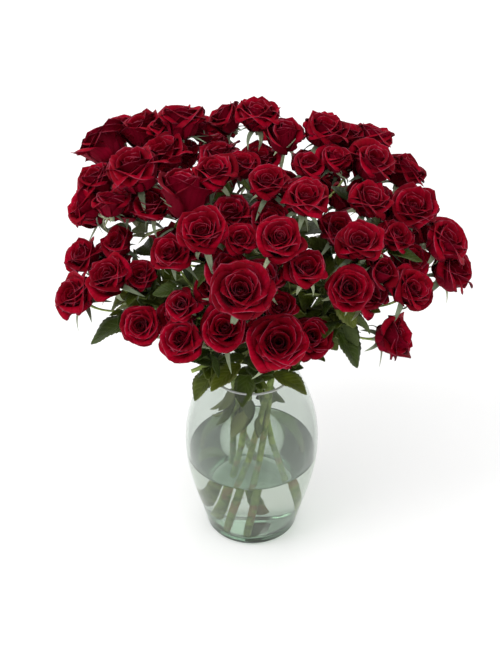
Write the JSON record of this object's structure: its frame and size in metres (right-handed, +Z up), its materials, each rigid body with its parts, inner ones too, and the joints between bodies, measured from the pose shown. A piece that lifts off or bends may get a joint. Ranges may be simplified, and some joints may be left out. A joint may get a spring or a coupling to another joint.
{
  "type": "roses in a vase",
  "caption": "Clear glass ginger-jar vase, half full of water, holding a full round bouquet of deep red spray roses on branching green stems.",
  "frame": {"origin": "centre of the flat foot that the vase stands on", "axes": "+Z up through the vase's mouth; the front of the bouquet faces -Y, its right side +X"},
  "size_m": [0.4016, 0.3252, 0.472],
  "materials": {
    "vase_glass": "clear blown glass, faintly green where thick",
    "water": "clear still water",
    "petal_red": "velvety deep crimson petals with finer, lighter edges",
    "stem_green": "matt olive-green stems and dark green leaves"
  },
  "bodies": {
    "root": {"rose_back_a": "petal_red", "rose_back_b": "petal_red", "rose_back_c": "petal_red", "rose_back_d": "petal_red", "rose_back_e": "petal_red", "rose_crown_left_a": "petal_red", "rose_crown_left_b": "petal_red", "rose_crown_left_c": "petal_red", "rose_crown_right_a": "petal_red", "rose_crown_right_b": "petal_red", "rose_crown_right_c": "petal_red", "rose_crown_right_d": "petal_red", "rose_front_a": "petal_red", "rose_front_b": "petal_red", "rose_front_c": "petal_red", "rose_front_d": "petal_red", "rose_front_low_a": "petal_red", "rose_front_low_b": "petal_red", "rose_front_low_c": "petal_red", "rose_left_a": "petal_red", "rose_left_b": "petal_red", "rose_left_c": "petal_red", "rose_left_low_front_a": "petal_red", "rose_left_low_front_b": "petal_red", "rose_left_low_front_c": "petal_red", "rose_left_top_a": "petal_red", "rose_left_top_b": "petal_red", "rose_left_top_back_a": "petal_red", "rose_left_top_back_b": "petal_red", "rose_left_top_back_c": "petal_red", "rose_left_top_back_d": "petal_red", "rose_left_top_c": "petal_red", "rose_left_top_d": "petal_red", "rose_left_top_e": "petal_red", "rose_right_a": "petal_red", "rose_right_b": "petal_red", "rose_right_c": "petal_red", "rose_right_d": "petal_red", "rose_right_front_a": "petal_red", "rose_right_front_b": "petal_red", "rose_right_front_c": "petal_red", "rose_right_front_d": "petal_red", "rose_right_front_e": "petal_red", "rose_right_top_a": "petal_red", "rose_right_top_b": "petal_red", "rose_right_top_c": "petal_red", "stem_back": "stem_green", "stem_crown_left": "stem_green", "stem_crown_right": "stem_green", "stem_front": "stem_green", "stem_front_low": "stem_green", "stem_left": "stem_green", "stem_left_low_front": "stem_green", "stem_left_top": "stem_green", "stem_left_top_back": "stem_green", "stem_right": "stem_green", "stem_right_front": "stem_green", "stem_right_top": "stem_green", "vase": "vase_glass", "water": "water"}
  },
  "joints": []
}
